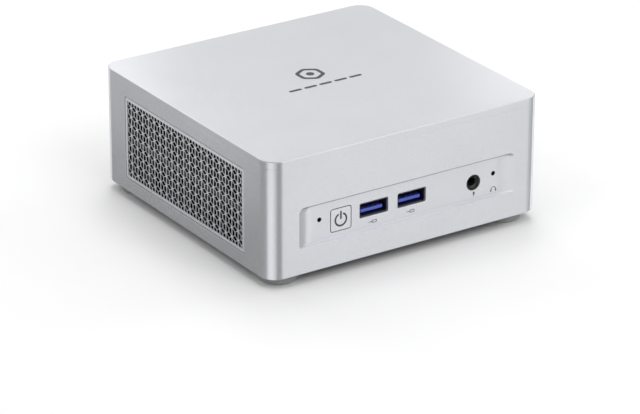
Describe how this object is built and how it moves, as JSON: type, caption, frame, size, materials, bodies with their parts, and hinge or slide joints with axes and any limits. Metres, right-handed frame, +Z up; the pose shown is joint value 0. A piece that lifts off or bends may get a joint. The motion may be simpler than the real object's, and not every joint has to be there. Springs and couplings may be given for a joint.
{
  "type": "mini pc",
  "caption": "Small square desktop computer: metal case with vented sides, a lift-off lid, sockets and a power button in a recessed front, rear sockets and round feet.",
  "frame": {"origin": "middle of the footprint, on the plane that the feet stand on", "axes": "-Y is the front with the power button, +X is to the right seen from the front, +Z is up through the lid"},
  "size_m": [0.127, 0.1234, 0.0529],
  "materials": {
    "silver_shell": "fine satin silver",
    "dark_plastic": "fine texture",
    "black_plastic": "smooth matt",
    "switch_plunger": "smooth",
    "usb_blue": "smooth",
    "grey_rubber": "matt grey",
    "steel": "nickel plated",
    "aluminium": "bare sheet",
    "copper": "bare copper",
    "circuit_board": "solder mask",
    "chip": "chip package"
  },
  "bodies": {
    "chassis": {"audio_jack": "black_plastic", "blower_housing": "black_plastic", "bottom_cover": "dark_plastic", "bottom_screw_front_left": "steel", "bottom_screw_front_right": "steel", "bottom_screw_rear_left": "steel", "bottom_screw_rear_right": "steel", "coin_cell": "steel", "cold_plate": "copper", "dc_jack": "black_plastic", "dc_jack_pin": "steel", "ethernet_port": "steel", "fan_bracket": "steel", "fan_frame": "black_plastic", "fin_stack": "aluminium", "foot_front_left": "grey_rubber", "foot_front_right": "grey_rubber", "foot_rear_left": "grey_rubber", "foot_rear_right": "grey_rubber", "hdmi_shell": "steel", "hdmi_tongue": "black_plastic", "heat_pipe": "copper", "housing": "silver_shell", "left_grille": "silver_shell", "lid_latch_front_left": "black_plastic", "lid_latch_front_right": "black_plastic", "lid_latch_rear_left": "black_plastic", "lid_latch_rear_right": "black_plastic", "memory_module_1": "circuit_board", "memory_module_2": "circuit_board", "memory_socket_1": "black_plastic", "memory_socket_2": "black_plastic", "microphone": "black_plastic", "motherboard": "circuit_board", "power_switch": "black_plastic", "processor": "chip", "rear_panel": "dark_plastic", "reset_switch": "black_plastic", "right_grille": "silver_shell", "ssd_module": "circuit_board", "ssd_socket": "black_plastic", "usb_c_shell": "steel", "usb_c_tongue": "black_plastic", "usb_front_left_shell": "steel", "usb_front_left_tongue": "usb_blue", "usb_front_right_shell": "steel", "usb_front_right_tongue": "usb_blue", "usb_rear_inner_shell": "steel", "usb_rear_inner_tongue": "usb_blue", "usb_rear_outer_shell": "steel", "usb_rear_outer_tongue": "usb_blue", "wireless_card": "steel"},
    "lid": {"top_cover": "silver_shell"},
    "power_key": {"power_button": "silver_shell"},
    "power_plunger": {"power_switch_plunger": "switch_plunger"},
    "reset_plunger": {"reset_switch_plunger": "switch_plunger"},
    "impeller": {"blower_impeller": "black_plastic"},
    "rotor": {"fan_rotor": "black_plastic"}
  },
  "joints": [
    {"name": "lid_lift", "type": "slide", "parent": "chassis", "child": "lid", "axis": [0, 0, 1], "range_m": [0, 0.06]},
    {"name": "power_button_press", "type": "slide", "parent": "chassis", "child": "power_key", "axis": [0, 1, 0], "range_m": [0, 0.0004], "stiffness_N_per_m": 400, "springref_m": -0.0012},
    {"name": "power_plunger_press", "type": "slide", "parent": "chassis", "child": "power_plunger", "axis": [0, 1, 0], "range_m": [0, 0.0004]},
    {"name": "reset_plunger_press", "type": "slide", "parent": "chassis", "child": "reset_plunger", "axis": [0, 1, 0], "range_m": [0, 0.0003], "stiffness_N_per_m": 400, "springref_m": -0.0012},
    {"name": "blower_spin", "type": "hinge", "parent": "chassis", "child": "impeller", "pos_m": [-0.026, 0.005, 0.012], "axis": [0, 0, 1], "continuous": true},
    {"name": "fan_spin", "type": "hinge", "parent": "chassis", "child": "rotor", "pos_m": [-0.006, -0.002, 0.042], "axis": [0, 0, 1], "continuous": true}
  ],
  "couplings": [
    {"joint": "power_plunger_press", "follows": "power_button_press", "ratio": 1}
  ]
}
